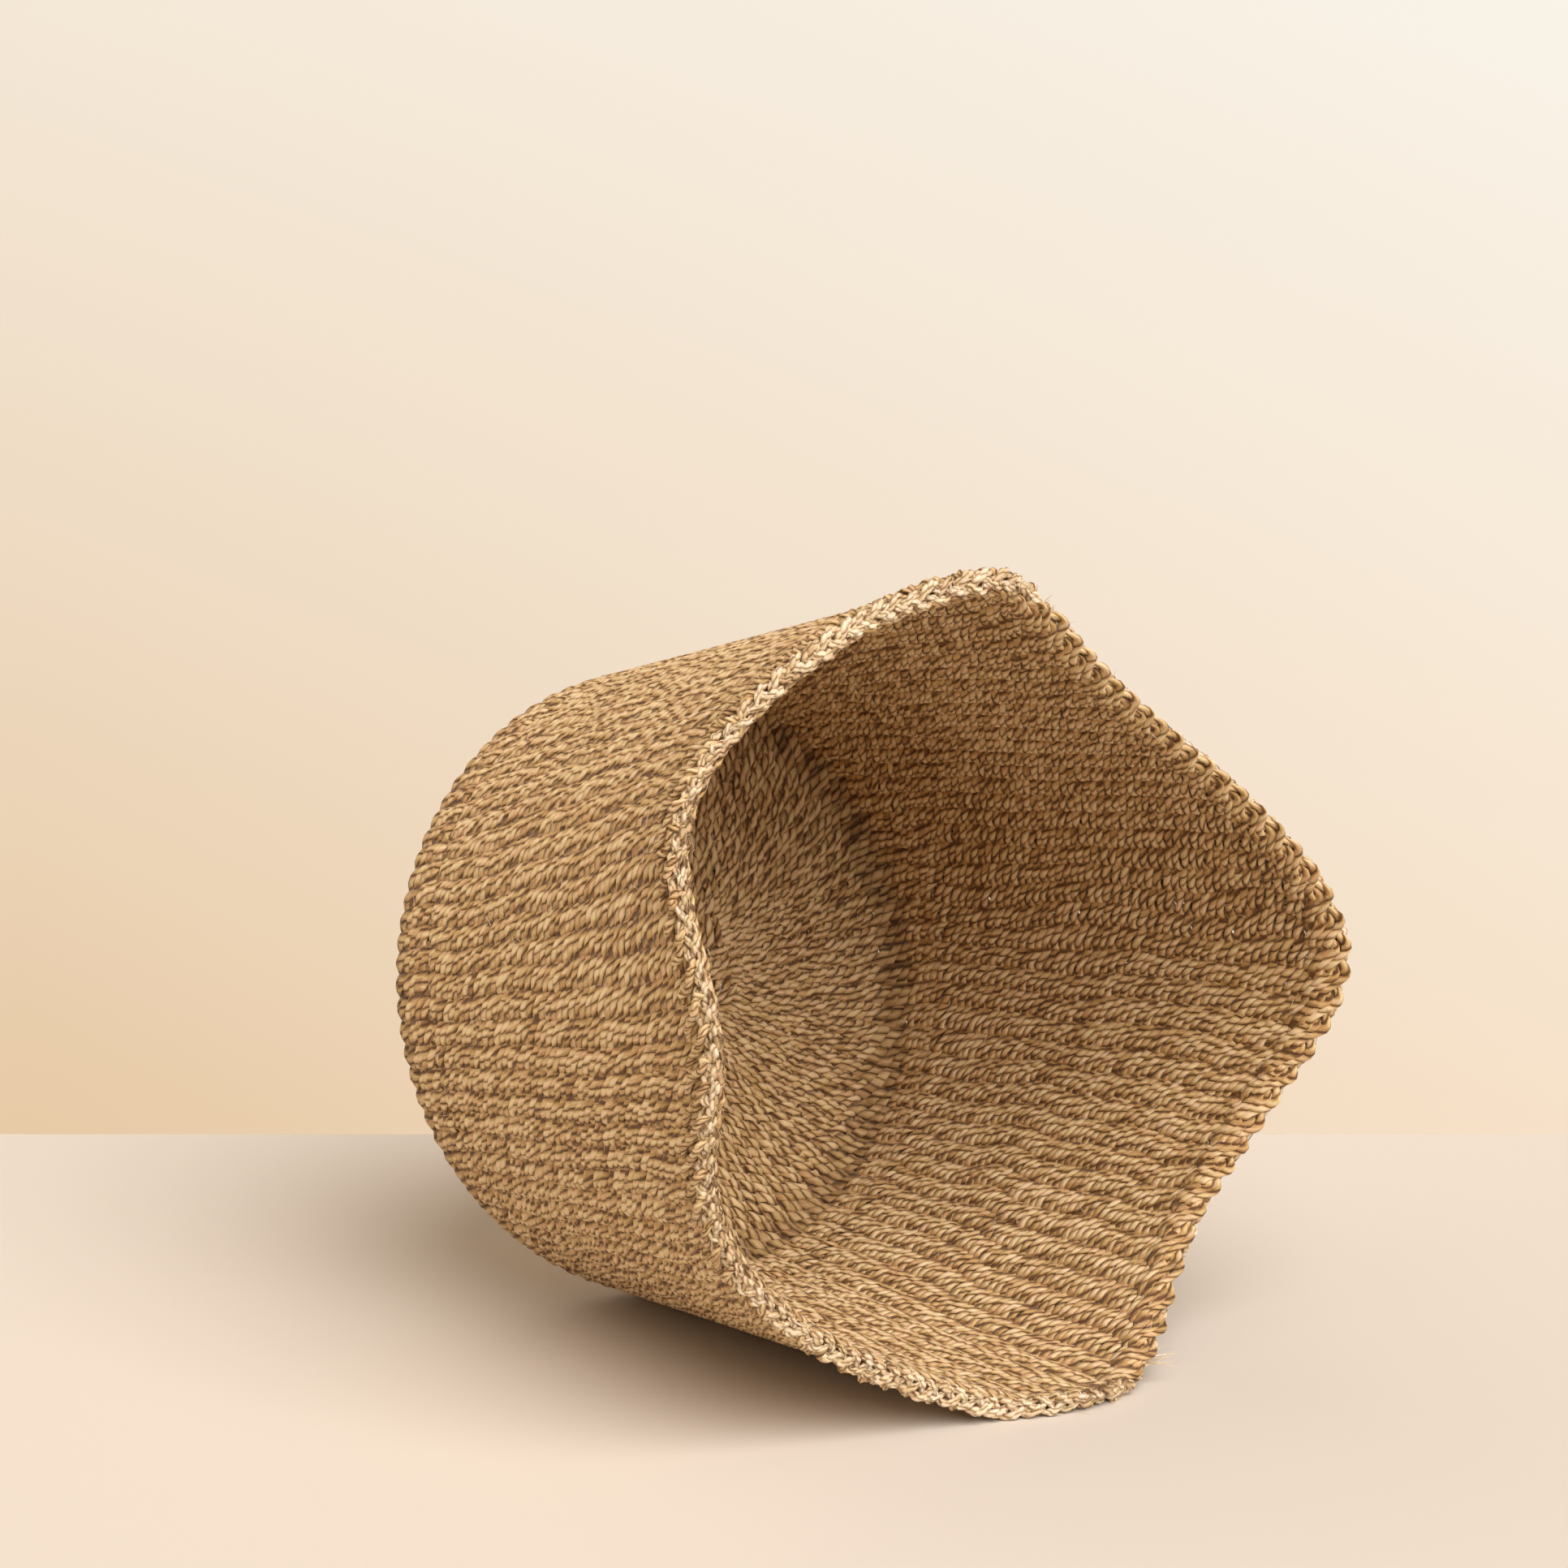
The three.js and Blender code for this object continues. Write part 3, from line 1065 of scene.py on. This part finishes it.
# The stage: a plain pale floor, and behind it a plain cream wall that only the camera sees.
# The wall glows by itself with painted light, brighter to the right and higher up, and throws no
# shadow.
floor_colour = (0.77, 0.705, 0.63, 1)
floor_reach = 8
floor_level = -0.0002
wall_low_left = (0.8, 0.59, 0.38, 1)
wall_low_right = (0.93, 0.76, 0.585, 1)
wall_high_left = (0.905, 0.8, 0.672, 1)
wall_high_right = (0.948, 0.896, 0.806, 1)
fade_across = 1.4
fade_height = 0.5
wall_distance = 1.846
wall_reach = 4
wall_top = 3
forward = Vector((-math.sin(camera_azimuth), math.cos(camera_azimuth), 0))
sideways = Vector((forward.y, -forward.x, 0))
upward = Vector((0, 0, 1))


def flat_sheet(name, corners, material):
    mesh = bpy.data.meshes.new(name)
    edit = bmesh.new()
    edit.faces.new([edit.verts.new(corner) for corner in corners])
    edit.to_mesh(mesh)
    edit.free()
    mesh.materials.append(material)
    sheet = placed(name, mesh)
    return sheet


def floor_paint(name):
    material, dye = new_material(name)
    shader = dye.node(
        "ShaderNodeBsdfPrincipled",
        {},
        {"Base Color": floor_colour, "Roughness": 0.9, "Specular IOR Level": 0.1},
    )
    dye.node("ShaderNodeOutputMaterial", {}, {"Surface": shader})
    return material


def wall_glow(name):
    material, dye = new_material(name)
    place = dye.node("ShaderNodeTexCoord", {}, {}, "Object")
    along = dye.node(
        "ShaderNodeVectorMath",
        {"operation": "DOT_PRODUCT"},
        {0: place, 1: tuple(sideways)},
        "Value",
    )
    height = dye.node("ShaderNodeSeparateXYZ", {}, {"Vector": place}, "Z")
    # painted light: the glow is brighter to the right and higher up
    rightness = 0.5 + fade_across * along
    low_colour = tinted(dye, rightness, wall_low_left, wall_low_right)
    high_colour = tinted(dye, rightness, wall_high_left, wall_high_right)
    colour = tinted(dye, height * (1 / fade_height), low_colour, high_colour)
    glow = dye.node("ShaderNodeEmission", {}, {"Color": colour, "Strength": 1})
    clear = dye.node("ShaderNodeBsdfTransparent", {}, {})
    is_camera = dye.node("ShaderNodeLightPath", {}, {}, "Is Camera Ray")
    is_back = dye.node("ShaderNodeNewGeometry", {}, {}, "Backfacing")
    shown = dye.node("ShaderNodeMixShader", {}, {0: is_camera * (1 - is_back), 1: clear, 2: glow})
    dye.node("ShaderNodeOutputMaterial", {}, {"Surface": shown})
    return material


floor_corners = [
    (across * floor_reach, along * floor_reach, floor_level)
    for across, along in ((-1, -1), (1, -1), (1, 1), (-1, 1))
]
flat_sheet("floor", floor_corners, floor_paint("pale floor"))

wall_middle = camera.location + forward * wall_distance
wall_middle.z = floor_level
wall_corners = [
    wall_middle + sideways * across * wall_reach + upward * up * wall_top
    for across, up in ((-1, 0), (1, 0), (1, 1), (-1, 1))
]
cream_wall = flat_sheet("cream_wall", wall_corners, wall_glow("cream wall"))
cream_wall.visible_shadow = False

# The light: a pale room all round, a big soft window high behind the camera and a little to its
# right, and the light that comes back warm from a wall on the left. Window and left wall are
# wide suns, so the floor is evenly lit.
room_strength = 0.2
room_glow = (1, 0.78, 0.54, 1)
room_seen = (0.92, 0.83, 0.7, 1)
window_direction = sideways * 1.2 - forward * 2.2 + upward * 2.3
window_spread = 55
window_strength = 3.65
window_colour = (0.99, 0.955, 0.935)
left_direction = upward * 2.4 + forward * 0.3 - sideways * 2.2
left_spread = 100
left_strength = 0.95
left_colour = (1, 0.83, 0.66)


def room(name):
    """The world all round: dim for the basket, and bright where the camera sees it."""
    world = bpy.data.worlds.new(name)
    world.use_nodes = True
    world.node_tree.nodes.clear()
    dye = Dye(world.node_tree)
    is_camera = dye.node("ShaderNodeLightPath", {}, {}, "Is Camera Ray")
    colour = tinted(dye, is_camera, room_glow, room_seen)
    strength = room_strength + (1 - room_strength) * is_camera
    glow = dye.node("ShaderNodeBackground", {}, {"Color": colour, "Strength": strength})
    dye.node("ShaderNodeOutputWorld", {}, {"Surface": glow})
    return world


def soft_sun(name, direction, spread, strength, colour):
    lamp = bpy.data.lights.new(name, "SUN")
    lamp.angle = math.radians(spread)
    lamp.energy = strength
    lamp.color = colour
    aim(placed(name, lamp), direction)


bpy.context.scene.world = room("pale room")
soft_sun("window", window_direction, window_spread, window_strength, window_colour)
soft_sun("left_wall", left_direction, left_spread, left_strength, left_colour)
bpy.context.scene.view_settings.view_transform = "Standard"
